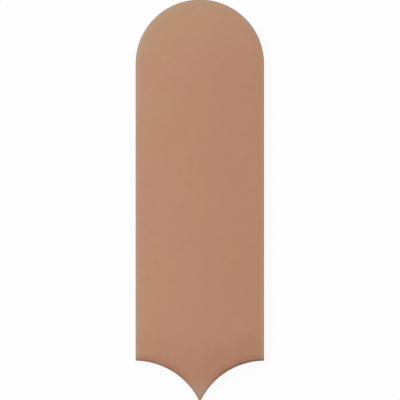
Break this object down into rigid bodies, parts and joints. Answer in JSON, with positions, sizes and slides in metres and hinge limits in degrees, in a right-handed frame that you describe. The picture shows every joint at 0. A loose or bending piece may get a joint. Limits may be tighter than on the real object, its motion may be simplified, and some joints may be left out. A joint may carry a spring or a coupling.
{
  "type": "fan-shaped ceramic tile",
  "caption": "Fan-shaped wall tile with a round head, straight sides and a pointed tail between hollow arcs, which the heads of the next course fit into.",
  "frame": {"origin": "middle of the tile's box on its back face, the plane it is bedded and rests on", "axes": "+Z out of the glazed face, +Y along the tile towards its round head, +X to the right of the face when the head is up"},
  "size_m": [0.08, 0.25, 0.009],
  "materials": {
    "glazed_clay": "satin"
  },
  "bodies": {
    "root": {"tile": "glazed_clay"}
  },
  "joints": []
}
